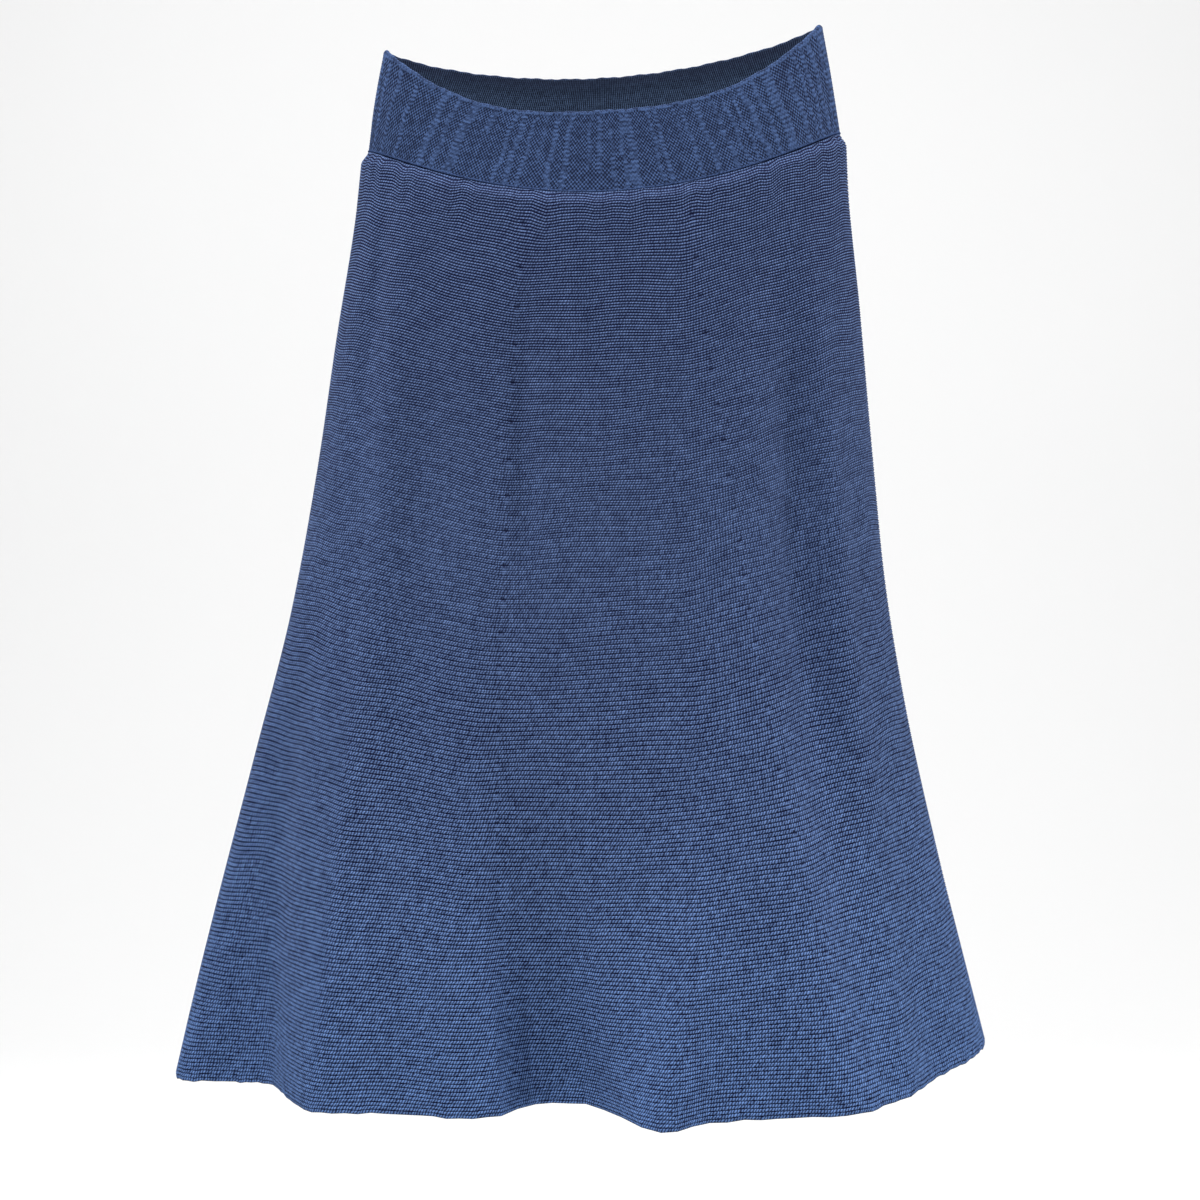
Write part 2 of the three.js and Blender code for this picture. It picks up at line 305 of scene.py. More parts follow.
# %% Grids and shells
def grid_quads(rows, columns, first=0):
    """The quads of a grid, each facing outwards when rows go down and columns go round."""
    i, j = np.meshgrid(np.arange(rows - 1), np.arange(columns - 1), indexing="ij")
    a = first + i * columns + j
    return np.stack([a, a + columns, a + columns + 1, a + 1], -1).reshape(-1, 4)


def edge_quads(outer, inner):
    """Quads between two lines of points with the same count."""
    return np.stack([outer[:-1], outer[1:], inner[1:], inner[:-1]], -1)


def cells(grid):
    """The four corner values of every cell of a grid: two along its first line, two back along the next."""
    return np.stack([grid[:-1, :-1], grid[:-1, 1:], grid[1:, 1:], grid[1:, :-1]], -1).reshape(-1, 4)


def closed(grid, axis):
    """A grid with its first line again after the last one, so that its cells close round that axis."""
    return np.concatenate([grid, np.take(grid, [0], axis=axis)], axis=axis)


def side_fans(outer, inner, group):
    """Triangles between a fine side edge and a coarse one: the first half of each group of fine steps
    goes to the upper coarse point, the rest to the lower one, and one triangle closes the middle."""
    steps = np.arange(len(outer) - 1)
    coarse = (steps + group // 2) // group
    fine = np.stack([outer[steps + 1], outer[steps], inner[coarse]], -1)
    middle = np.arange(len(inner) - 1)
    halfway = outer[np.minimum(middle * group + (group + 1) // 2, len(outer) - 1)]
    return np.concatenate([fine, np.stack([halfway, inner[middle], inner[middle + 1]], -1)])


def make_piece(name, points, quads, triangles, maps, materials, slots=None):
    """A mesh object at the origin. maps holds, for each UV map, the values at every face corner."""
    mesh = bpy.data.meshes.new(name)
    mesh.from_pydata((points * MM).tolist(), [], quads.tolist() + triangles.tolist())
    for map_name, values in maps.items():
        layer = mesh.uv_layers.new(name=map_name)
        layer.data.foreach_set("uv", values.astype(np.float32).ravel())
    mesh.polygons.foreach_set("use_smooth", np.ones(len(mesh.polygons), bool))
    for material in materials:
        mesh.materials.append(material)
    if slots is not None:
        mesh.polygons.foreach_set("material_index", slots.astype(np.int32))
    mesh.validate()
    mesh.update()
    piece = bpy.data.objects.new(name, mesh)
    bpy.context.scene.collection.objects.link(piece)
    print(name, len(mesh.vertices), "points,", len(quads) * 2 + len(triangles), "triangles")
    return piece


# %% [markdown]
# ## Yarn and stitches as materials
# The yarn is a smooth, slightly greyed blue. What shows of the knit is a pattern of light loops and deep
# gaps, and the gaps' darkness is painted shade; the numbers in the UV map make it: the row number gives a
# gap between two rows, and the stitch number cuts each pair of rows into leaning dashes. White noise gives
# each loop its own brightness, and slow noise draws the gaps and clouds the yarn. The same pattern drives
# the bump.


# %% Node helpers
def linear(red, green, blue):
    """A colour from screen values of 0 to 255, as the light that Blender works in."""
    def one(c):
        """((c + 0.055) / 1.055) to the power 2.4, and a straight line near black."""
        c = c / 255
        return c / 12.92 if c <= 0.04045 else ((c + 0.055) / 1.055) ** 2.4
    return (one(red), one(green), one(blue), 1.0)


class Nodes:
    """Small helper that adds shader nodes and joins them by their values."""

    def __init__(self, name):
        """An empty material of that name."""
        self.material = bpy.data.materials.new(name)
        self.material.use_nodes = True
        self.tree = self.material.node_tree
        self.tree.nodes.clear()

    def add(self, kind, **settings):
        """One node with its settings."""
        node = self.tree.nodes.new(kind)
        for key, value in settings.items():
            setattr(node, key, value)
        return node

    def join(self, value, socket):
        """A link where the value is another node's output, and else a constant on the socket."""
        if isinstance(value, bpy.types.NodeSocket):
            self.tree.links.new(value, socket)
        else:
            socket.default_value = value

    def math(self, operation, *values, clamp=False):
        """One step of arithmetic on outputs or numbers."""
        node = self.add("ShaderNodeMath", operation=operation, use_clamp=clamp)
        for value, socket in zip(values, node.inputs):
            self.join(value, socket)
        return node.outputs[0]

    def times(self, a, b, clamp=False):
        """a b"""
        return self.math("MULTIPLY", a, b, clamp=clamp)

    def plus(self, a, b):
        """a + b"""
        return self.math("ADD", a, b)

    def less(self, a, b):
        """a - b"""
        return self.math("SUBTRACT", a, b)

    def times_plus(self, a, b, c):
        """a b + c"""
        return self.math("MULTIPLY_ADD", a, b, c)

    def power(self, a, b):
        """a to the power b: above 1 it makes a wave's crests narrow."""
        return self.math("POWER", a, b)

    def wave(self, value, turns=1.0):
        """0.5 + 0.5 cos(2 pi turns value)"""
        angle = self.times(value, 2 * math.pi * turns)
        return self.times_plus(self.math("COSINE", angle), 0.5, 0.5)

    def blend(self, factor, a, b):
        """The colour a, turning into b as the factor goes from 0 to 1."""
        node = self.add("ShaderNodeMix", data_type="RGBA")
        self.join(factor, node.inputs[0])
        self.join(a, node.inputs[6])
        self.join(b, node.inputs[7])
        return node.outputs[2]

    def blend_numbers(self, factor, a, b):
        """The number a, turning into b as the factor goes from 0 to 1."""
        node = self.add("ShaderNodeMix", data_type="FLOAT")
        self.join(factor, node.inputs[0])
        self.join(a, node.inputs[2])
        self.join(b, node.inputs[3])
        return node.outputs[0]

    def range(self, value, low, high, to_low=0.0, to_high=1.0):
        """The value's way from low to high, told as a way from to_low to to_high, and held there."""
        node = self.add("ShaderNodeMapRange", clamp=True)
        for v, socket in zip((value, low, high, to_low, to_high), node.inputs):
            self.join(v, socket)
        return node.outputs[0]

    def uv(self, name):
        """The two numbers of a UV map."""
        node = self.add("ShaderNodeUVMap", uv_map=name)
        split = self.add("ShaderNodeSeparateXYZ")
        self.join(node.outputs[0], split.inputs[0])
        return split.outputs[0], split.outputs[1]

    def noise(self, scale, detail=2.0, vector=None):
        """Smooth noise about 0.5, in the object's own metres unless a vector is given."""
        node = self.add("ShaderNodeTexNoise")
        node.inputs["Scale"].default_value = scale
        node.inputs["Detail"].default_value = detail
        if vector is None:
            vector = self.add("ShaderNodeTexCoord").outputs["Object"]
        self.join(vector, node.inputs["Vector"])
        return node.outputs[0]

    def stretched_noise(self, u, v, by_u, by_v):
        """Slow noise in the plane of the stitch and row numbers, longer along the rows."""
        joined = self.add("ShaderNodeCombineXYZ")
        self.join(self.times(u, by_u), joined.inputs[0])
        self.join(self.times(v, by_v), joined.inputs[1])
        return self.noise(1.0, 1.0, joined.outputs[0])

    def speckle(self, u, v):
        """A random number for each whole pair of u and v."""
        joined = self.add("ShaderNodeCombineXYZ")
        self.join(self.math("FLOOR", u), joined.inputs[0])
        self.join(self.math("FLOOR", v), joined.inputs[1])
        node = self.add("ShaderNodeTexWhiteNoise", noise_dimensions="2D")
        self.join(joined.outputs[0], node.inputs["Vector"])
        return node.outputs[0]

    def finish(self, colour, height, depth, roughness, sheen, glow=0.0):
        """The material itself: a matt yarn, with the height as a bump that is depth metres deep."""
        shader = self.add("ShaderNodeBsdfPrincipled")
        self.join(colour, shader.inputs["Base Color"])
        shader.inputs["Roughness"].default_value = roughness
        shader.inputs["Sheen Weight"].default_value = sheen
        shader.inputs["Sheen Roughness"].default_value = 0.5
        shader.inputs["Specular IOR Level"].default_value = 0.1
        shader.inputs["Emission Color"].default_value = (1, 1, 1, 1)
        shader.inputs["Emission Strength"].default_value = glow
        bump = self.add("ShaderNodeBump")
        bump.inputs["Strength"].default_value = 0.8
        bump.inputs["Distance"].default_value = depth
        self.join(height, bump.inputs["Height"])
        self.join(bump.outputs[0], shader.inputs["Normal"])
        out = self.add("ShaderNodeOutputMaterial")
        self.join(shader.outputs[0], out.inputs[0])
        return self.material


# %% [markdown]
# ## The body knit
# Seen close up, a purl row is a line of small bumps with a gap under it, painted dark as shade. Modelling
# its two hundred thousand loops would be slow, and an image would be blurred close up, so three patterns
# are worked out from the stitch and row numbers: the gaps, the loops, and the marks that the increases
# leave along the gore lines. Near the waist each row shows. Lower down they close up in pairs.

# %% The body knit
# The gaps' dark blue is painted shade, where shade falls between the ridges.
GAP_SHADE_BLUE = linear(6, 9, 44)
LOOP_BLUE = linear(116, 142, 194)
# The yarn low on the skirt is a lighter, bluer blue; its lightening is painted light where the flared cloth
# meets the light from above.
LOOP_BLUE_LOW_LIT = linear(113, 149, 211)
LEAN = 0.7  # how far a dash leans on its way down a pair of rows, in stitches
KNOT_BELOW = 2.2  # rows from an increase's hole down to the knot of yarn under it


def row_gaps(n, u, v, down):
    """How much of a gap each point is, from 0 to 1, for its bump and its painted shade: the larger of a wave
    of the row number and a wave of half of it. Slow noise and a chance for each loop make it fainter here
    and there."""
    single = n.times(n.power(n.wave(v), 0.9), n.range(down, 0.1, 0.8, 1.08, 0.34))
    pair = n.times(n.power(n.wave(v, 0.5), 1.7), n.range(down, 0.05, 0.5, 0.45, 1.0))
    drawn = n.range(n.stretched_noise(u, v, 0.07, 0.5), 0.38, 0.62, 0.88, 1.06)
    bridge = n.times(n.speckle(u, n.plus(v, 0.5)), n.times(down, -0.5))
    drawn = n.times(drawn, n.plus(bridge, 1.06))
    return n.times(n.math("MAXIMUM", single, pair), drawn, clamp=True)


def leaning_loops(n, u, v):
    """A wave of the stitch number plus the lean and a little noise, and a chance for each loop."""
    pairs = n.times(v, 0.5)
    part = n.less(n.math("FRACT", pairs), 0.5)
    stray = n.times_plus(n.noise(260.0, 1.0), 0.9, -0.45)
    place = n.plus(n.times_plus(part, LEAN, u), stray)
    chance = n.times_plus(n.speckle(place, pairs), 0.6, n.times(n.speckle(place, v), 0.4))
    return n.wave(place), chance


def increase_marks(n, aside, row):
    """Spots on a gore line at even steps down it: a hole where its distance squared is small, and a
    knot in the same way a little lower. Distances are in stitches across and in rows down."""
    across = n.times(aside, aside)
    turn = n.times_plus(row, 1 / MARK_EVERY, 0.5 - FIRST_MARK / MARK_EVERY)
    part = n.less(n.math("FRACT", n.plus(turn, 1.0)), 0.5)
    rows_off = n.times(part, float(MARK_EVERY))
    off = n.plus(n.times(across, 0.6), n.times(rows_off, rows_off))
    below = n.less(rows_off, KNOT_BELOW)
    off_below = n.plus(n.times(across, 0.5), n.times(n.times(below, below), 0.4))
    return n.range(off, 0.1, 0.9, 1.0, 0.0), n.range(off_below, 0.2, 1.6, 1.0, 0.0)


# %% The body's material
def body_knit():
    """Gaps lie at whole row numbers and are painted dark as shade, the even ones darker, and more so near
    the hem. The loops of two rows join into one short dash that leans to the left on its way down.
    Light = (loop x beads + ground) x (1 - gap), and it blends the painted shade blue of the gaps into the
    yarn's."""
    n = Nodes("body_knit")
    u, v = n.uv("knit")
    down = n.range(v, 0.0, float(RIDGES))
    gap = row_gaps(n, u, v, down)
    loop, chance = leaning_loops(n, u, v)
    hole, knot = increase_marks(n, *n.uv("gore"))
    uneven = n.times(chance, n.range(down, 0.0, 0.8, 0.2, 0.55))
    beads = n.plus(uneven, n.range(down, 0.0, 0.6, 0.5, 0.7))
    ground = n.times_plus(chance, 0.2, n.range(down, 0.0, 0.6, 0.22, 0.06))
    light = n.times_plus(loop, beads, ground)
    light = n.math("MAXIMUM", light, n.times(knot, 0.78))
    light = n.times(light, n.less(1.0, gap))
    light = n.times(light, n.times_plus(hole, -0.6, 1.0))
    # The first five rows under the band are painted darker: painted shade under the band.
    cloud = n.times_plus(n.noise(9.0, 2.0), 0.1, n.range(v, 0.0, 5.0, 0.8, 0.95))
    light = n.power(n.times(light, cloud, clamp=True), 1.15)
    # Towards the hem the yarn blends into the lighter blue: painted light on the flared cloth.
    yarn = n.blend(n.times(down, down), LOOP_BLUE, LOOP_BLUE_LOW_LIT)
    colour = n.blend(light, GAP_SHADE_BLUE, yarn)
    height = n.plus(n.times(n.less(1.0, gap), 0.6), n.times(loop, 0.3))
    height = n.less(height, n.times(hole, 0.6))
    return n.finish(colour, height, depth=0.0007, roughness=0.9, sheen=0.02)


body_material = body_knit()
print("material:", body_material.name)

# %% [markdown]
# ## The grid of a panel
# Front and back are each knitted in one piece, and grow wider by increases along two gore lines. Columns
# of the grid follow these lines, so the stitch numbers can start anew at each: stitches between the
# lines run straight down, and those outside run along the sides, where increases add them. The ridges
# are real relief, two rows of points to a row of knitting, so that they show on the outline too.

# %% Columns and ridges
PANEL_COLUMNS = 108
GORE_COLUMNS = (45, 66)  # the columns that follow the left and the right gore line
SAMPLES = 2  # rows of points in one row of knitting
GROUP = 12  # rows of points outside for one inside
GAP_HIGH, GAP_LOW = 0.5, 0.3  # depth of the odd gaps at the waist and at the hem, mm
GAP_PAIR = 0.85  # depth of the even gaps, mm


def column_places(gores, w):
    """f at every column and height: straight lines between the seams and the two gore lines."""
    start = 0.0 if gores[0, 1] < 1 else 1.0
    left, right = (np.interp(w, gores[:, 0], gores[:, k]) for k in (1, 2))
    a, b = GORE_COLUMNS
    c = np.arange(PANEL_COLUMNS + 1)[None, :]
    left, right = left[:, None], right[:, None]
    f = np.where(c <= a, mix(start, left, c / a), mix(left, right, (c - a) / (b - a)))
    return np.where(c >= b, mix(right, start + 1, (c - b) / (PANEL_COLUMNS - b)), f)


def ridge_height(v, w):
    """Height of the knit at row number v in mm: 0 on a ridge, lower in the gaps, lowest in even ones."""
    even = 0.5 + 0.5 * np.cos(math.pi * v)
    gap = 0.5 + 0.5 * np.cos(2 * math.pi * v)
    return -gap * mix(mix(GAP_HIGH, GAP_LOW, w), GAP_PAIR, even)


print(RIDGES, "rows on", PANEL_COLUMNS, "columns")

# %% [markdown]
# ## Numbering the stitches
# A knitted stitch keeps its width, so its number is the length along the row over 2.2 mm, whatever the
# fold does. Rows slide a little against each other, and a number taken point by point would tear the
# loops apart. So both rows of a pair take theirs from the middle of the pair.


# %% Stitch numbers
def upright(points, along):
    """Stitch numbers at the corners of each quad: those in the middle of its pair of rows of knitting,
    moved only along it, so that loops stand upright on it."""
    pair = 2 * SAMPLES
    q = np.arange(len(points) - 1)
    middle = q // pair * pair + pair // 2
    tangent = np.gradient(points, axis=1)[middle]
    tangent = tangent / np.linalg.norm(tangent, axis=-1, keepdims=True) / STITCH
    top = along[middle] + ((points[q] - points[middle]) * tangent).sum(-1)
    low = along[middle] + ((points[q + 1] - points[middle]) * tangent).sum(-1)
    return np.stack([top[:, :-1], low[:, :-1], low[:, 1:], top[:, 1:]], -1).reshape(-1, 4)


def stitch_maps(points, v, quads, columns, fine):
    """For every corner of a grid's quads: the stitch and row numbers, counted from the middle of the
    quad's own gore, and the distance in stitches from the nearest gore line."""
    steps = np.linalg.norm(np.diff(points, axis=1), axis=-1)
    along = np.concatenate([np.zeros((len(points), 1)), np.cumsum(steps, axis=1)], axis=1) / STITCH
    a, b = GORE_COLUMNS
    at_left, at_right = along[:, a : a + 1], along[:, b : b + 1]
    counts = [along, along - (at_left + at_right) / 2, along - along[:, -1:]]
    rows = np.broadcast_to(v[:, None], along.shape)
    corner = quads - quads.min()
    first = corner[:, 0] % columns
    gore = np.where(first < a, 0, np.where(first < b, 1, 2))
    if fine:
        u = np.choose(gore[:, None], [upright(points, c) for c in counts])
    else:
        u = np.stack([c.ravel() for c in counts])[gore[:, None], corner]
    nearest = np.where(first < (a + b) // 2, 0, 1)
    aside = np.stack([(along - at_left).ravel(), (along - at_right).ravel()])[nearest[:, None], corner]
    row = rows.ravel()[corner]
    return np.stack([u, row], -1), np.stack([aside, row], -1)


# %% [markdown]
# ## The two panels
# A single sheet has no thickness, and a Solidify modifier would copy all its ridges to the inside,
# which is plainer. So the inside is its own coarse grid 2.8 mm behind, and the shell is closed round the
# hem, the sides and the top.

# %% Panels
INSET = 1.0  # the rounded edge at the hem, mm
ROUND_ROWS = 2.5  # rows of knitting over which the hem is rounded
EDGE_NUMBERS = np.array([0.0, 1.0])  # stitch and row number of the narrow edges, where no knit shows


def panel(name, gores, shift):
    """A panel of the skirt: the middle surface moved out by the ridges for the outside and back by the
    wall and half of the ridges for the inside."""
    v = np.arange(RIDGES * SAMPLES + 1) / SAMPLES
    w = height_of_row(v)
    f = column_places(gores, w)
    w2 = w[:, None] + wobble(w[:, None], f) - hem_rough(w[:, None], f)
    middle = body(np.clip(w2, 0, 1), f)
    normal = outward(middle)
    ridges = ridge_height(v, w)[:, None, None]
    hem = INSET * ease(RIDGES - ROUND_ROWS, RIDGES, v)[:, None, None]
    outer = middle + normal * (ridges - hem)
    inner = (middle - normal * (KNIT_WALL + ridges * 0.5 - hem))[::GROUP]
    columns = PANEL_COLUMNS + 1
    points = np.concatenate([outer.reshape(-1, 3), inner.reshape(-1, 3)])
    points[:, 1] += shift
    first = len(v) * columns
    outer_ids = np.arange(first).reshape(len(v), columns)
    inner_ids = first + np.arange(inner.shape[0] * columns).reshape(-1, columns)
    out_quads = grid_quads(len(v), columns)
    in_quads = grid_quads(inner.shape[0], columns, first)
    knit, gore = stitch_maps(middle, v, out_quads, columns, fine=True)
    knit_in, gore_in = stitch_maps(middle[::GROUP], v[::GROUP], in_quads, columns, fine=False)
    top = edge_quads(inner_ids[0], outer_ids[0])
    bottom = edge_quads(outer_ids[-1], inner_ids[-1])
    sides = [side_fans(outer_ids[:, 0], inner_ids[:, 0], GROUP)]
    sides.append(side_fans(outer_ids[:, -1], inner_ids[:, -1], GROUP)[:, ::-1])
    quads = np.concatenate([out_quads, in_quads[:, ::-1], top, bottom])
    triangles = np.concatenate(sides)
    plain = np.zeros((len(top) + len(bottom), 4, 2)) + EDGE_NUMBERS
    fans = np.zeros((len(triangles), 3, 2)) + EDGE_NUMBERS

    def all_corners(outside, inside):
        """The map of the whole shell, in the order of its faces."""
        return np.concatenate([x.reshape(-1, 2) for x in (outside, inside[:, ::-1], plain, fans)])

    maps = {"knit": all_corners(knit, knit_in), "gore": all_corners(gore, gore_in)}
    piece = make_piece(name, points, quads, triangles, maps, [body_material])
    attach(piece, "root")
    return piece


front = panel("skirt_front", FRONT_GORES, -SEAM_GAP / 2)
back = panel("skirt_back", BACK_GORES, SEAM_GAP / 2)
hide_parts("front_panel")
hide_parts("back_panel")

# %% [markdown]
# ## The waistband
# The band is knitted as one tube, folded over an elastic and linked to the body. Outside it shows
# columns of smooth loops and columns of broken, honeycomb loops, of uneven widths, that fan out at the
# corners where the band is pulled. Inside it has fine upright ribs. One closed ring is made by carrying
# the band's profile round: down the outside, round the bottom, up the inside and over the fold.

# %% Waistband columns
BAND_TALL = 64.0  # mm
BAND_COLUMNS = 720
BAND_OUT_ROWS, BAND_IN_ROWS, FOLD_ROWS = 84, 26, 7
WALES, BAND_ROWS = 320, 38  # stitches round the band, and rows of knitting down it
FAN = 0.035  # how far the columns lean at the corners, as f


def column_pattern(wale, row, seed):
    """1 in smooth columns and 0 in broken ones. Gaps and widths are drawn in stitches. A column is a
    plateau across, with an edge that wanders from row to row, times a plateau down the band."""
    draw = np.random.default_rng(seed)
    smooth = np.zeros(np.shape(wale))
    place = 0.0
    while place < WALES:
        place += draw.choice([1.4, 2.0, 2.8, 3.6, 5.0], p=[0.22, 0.28, 0.24, 0.16, 0.10])
        width = draw.choice([0.8, 1.2, 1.7, 2.3, 3.2], p=[0.26, 0.3, 0.24, 0.14, 0.06])
        strength = draw.uniform(0.45, 0.95)
        top, length = draw.uniform(-0.9, 0.25), draw.uniform(0.9, 2.4)
        step = draw.normal(0, 0.12, BAND_ROWS + 2)
        stray = np.take(step, np.clip(row, 0, BAND_ROWS + 1).astype(int)) + 0.3 * np.sin(row * 0.3 + place)
        inside = ease(width / 2 + 0.35, width / 2 - 0.25, np.abs(wale - place - stray))
        share = row / BAND_ROWS
        lasts = ease(top - 0.1, top + 0.05, share) * (1 - ease(top + length, top + length + 0.12, share))
        smooth = np.maximum(smooth, inside * strength * lasts)
        place += width
    return smooth


def band_ring():
    """Rows of points: the profile of the doubled cloth, with a round fold at the top. t is the share of
    the way down and depth how far in from the outside. Stitches are counted by the length round the
    middle row, so they keep one width right to the corners."""
    half = BAND_WALL / 2
    g = np.linspace(0, 2, BAND_COLUMNS + 1)[:-1]
    top_share = half / BAND_TALL
    t_out = np.linspace(1, top_share, BAND_OUT_ROWS)
    t_in = np.linspace(top_share, 1, BAND_IN_ROWS)
    turn = np.linspace(0, math.pi, FOLD_ROWS + 2)[1:-1]
    t = np.concatenate([t_out, top_share * (1 - np.sin(turn)), t_in])
    over = half * (1 - np.cos(turn))
    depth = np.concatenate([np.zeros(BAND_OUT_ROWS), over, np.full(BAND_IN_ROWS, BAND_WALL)])
    t, depth = t[:, None], depth[:, None]
    f = (g[None, :] - FAN * np.sin(2 * math.pi * g[None, :]) * t) % 2
    middle = band(t + 0 * f, f)
    step = np.linalg.norm(np.roll(middle, -1, axis=1) - middle, axis=-1)[BAND_OUT_ROWS // 2]
    length = np.concatenate([[0.0], np.cumsum(step)])
    wale = WALES * (length[:-1] / length[-1])[None, :] + 0 * t
    row = BAND_ROWS * t + 0 * g[None, :]
    return middle, depth, wale, row, t


def ring_normals(points):
    """Level outward normals of a closed ring of columns: the step round, a quarter turn back."""
    across = np.roll(points, -1, axis=1) - np.roll(points, 1, axis=1)
    normal = np.stack([across[..., 1], -across[..., 0], 0 * across[..., 0]], -1)
    return normal / np.linalg.norm(normal, axis=-1, keepdims=True)


print(WALES, "stitches round the band")

# %% [markdown]
# ## The band's two knits
# A broken column is a honeycomb of dots, which two crossed cosines give. A smooth one shows small vees,
# the front of each stitch. One material mixes the two by the column's own value. The inside has
# its own, because fine ribs without columns show there.

# %% The band's materials
# The dark blues between the loops of the band and between the ribs inside are painted shade.
BAND_GAP_SHADE, BAND_LOOP = linear(7, 12, 36), linear(86, 113, 164)
LINING_GAP_SHADE, LINING_LOOP = linear(17, 22, 42), linear(102, 128, 168)


def band_knit():
    """Outside of the band: dots x chance in broken columns, and in smooth ones a wave of the row number
    plus the distance from the middle of the stitch. A map says how smooth the column is."""
    n = Nodes("band_knit")
    u, v = n.uv("knit")
    smooth, _ = n.uv("columns")
    honeycomb = n.times(n.math("COSINE", n.times(u, 2 * math.pi)), n.math("COSINE", n.times(v, math.pi)))
    dots = n.times_plus(honeycomb, 0.5, 0.5)
    chance = n.speckle(u, v)
    broken = n.times(n.power(dots, 1.5), n.times_plus(chance, 0.6, 0.36))
    aside = n.math("ABSOLUTE", n.less(n.math("FRACT", u), 0.5))
    vees = n.wave(n.times_plus(aside, 1.6, v), 0.5)
    ribs = n.times_plus(vees, 0.36, n.times_plus(chance, 0.26, 0.06))
    smooth = n.range(n.times_plus(chance, 0.3, n.less(smooth, 0.15)), 0.25, 0.6)
    cloud = n.times_plus(n.noise(14.0, 3.0), 0.3, 0.85)
    shade = n.times(n.blend_numbers(smooth, broken, ribs), cloud, clamp=True)
    # Between the loops the colour turns to the painted shade blue.
    colour = n.blend(shade, BAND_GAP_SHADE, BAND_LOOP)
    height = n.plus(n.times(dots, n.less(1.0, smooth)), n.times(smooth, 0.75))
    return n.finish(colour, height, depth=0.0006, roughness=0.9, sheen=0.02)


def band_lining_knit():
    """Inside of the band: a wave of the stitch number for fine upright ribs, with painted shade between
    them, and painted shade darker towards the fold.
    """
    n = Nodes("band_inside_knit")
    u, v = n.uv("knit")
    rib = n.wave(u, 1.5)
    dots = n.times(rib, n.times_plus(n.wave(v), 0.35, 0.65))
    light = n.times(dots, n.times_plus(n.speckle(u, v), 0.45, 0.55))
    # Near the fold the inside is painted darker: painted shade under the fold.
    deep = n.range(v, 3.0, 10.0, 0.3, 1.0)
    # Between the ribs the colour turns to the painted shade blue.
    colour = n.blend(n.times(light, deep), LINING_GAP_SHADE, LINING_LOOP)
    return n.finish(colour, rib, depth=0.0006, roughness=0.92, sheen=0.0)


# %% [markdown]
# ## Building the ring
# Smooth columns stand a little higher than broken ones, and each loop of a broken one is a small bump.
# Inside, the cloth swells a little over the elastic. The last thing is the top edge, which rises and
# falls by a fraction of a millimetre from stitch to stitch.

# %% Build the waistband
SMOOTH_RISE, LOOP_RISE, BAND_SUNK = 0.35, 0.25, 0.3  # mm
CASING_RISE = 1.2  # how much the inside swells over the elastic, mm


def waistband():
    """The ring: its middle surface moved in by its depth, less the relief outside and the casing inside."""
    middle, depth, wale, row, t = band_ring()
    smooth = column_pattern(wale, row, seed=7)
    smooth = np.maximum(smooth, 0.9 - 0.9 * ease(0.02, 0.07, t + 0.012 * np.sin(wale * 0.9)))
    outside = depth < BAND_WALL / 2
    loops = np.cos(2 * math.pi * wale) * np.cos(math.pi * row)
    relief = SMOOTH_RISE * smooth + LOOP_RISE * (1 - smooth) * loops - BAND_SUNK
    relief = np.where(outside, relief, 0)
    casing = -CASING_RISE * ease(0.03, 0.14, t) * (1 - ease(0.55, 0.7, t))
    casing = np.where(depth > BAND_WALL * 0.9, casing, 0)
    normal = ring_normals(middle)
    points = middle - normal * (depth - relief - casing)[..., None]
    edge = np.exp(-((t / 0.05) ** 2)) * (0.22 * np.sin(wale * 1.3) + 0.25 * np.sin(wale * 0.47 + 1))
    points[..., 2] += edge
    ids = np.arange(wale.size).reshape(wale.shape)
    quads = cells(closed(closed(ids, 1), 0))

    def corners(x, seam=0):
        """Values at every corner. Past the last column the first comes again, plus the step at the seam."""
        x = np.concatenate([x, x[:, :1] + seam], axis=1)
        return cells(np.concatenate([x, x[-1:]], axis=0))

    knit = np.stack([corners(wale, WALES), corners(row)], -1)
    columns = np.stack([corners(smooth), corners(t + 0 * row)], -1)
    inside = np.broadcast_to(depth > BAND_WALL * 0.75, wale.shape).reshape(-1).astype(int)
    none = np.zeros((0, 3), int)
    maps = {"knit": knit, "columns": columns}
    knits = [band_knit(), band_lining_knit()]
    piece = make_piece("waistband", points.reshape(-1, 3), quads, none, maps, knits, inside)
    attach(piece, "root")
    return piece


waistband_ring = waistband()
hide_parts("waistband_front", "waistband_back")

# %% [markdown]
# ## The linked side seams
# Front and back are linked together on the inside, and no light passes between them. A cord of body knit
# down each side, in the middle of the knit's thickness, closes the gap between the two panels. It tapers
# to a point at both ends, so nothing of it shows.

# %% Side seams
SEAM_SIDES, SEAM_STEPS = 8, 160
SEAM_RADIUS = 0.9  # mm
SEAM_SUNK = 0.3  # further in than the middle of the knit, mm
SEAM_TIP = 0.02  # what is left of the radius at the two ends, mm


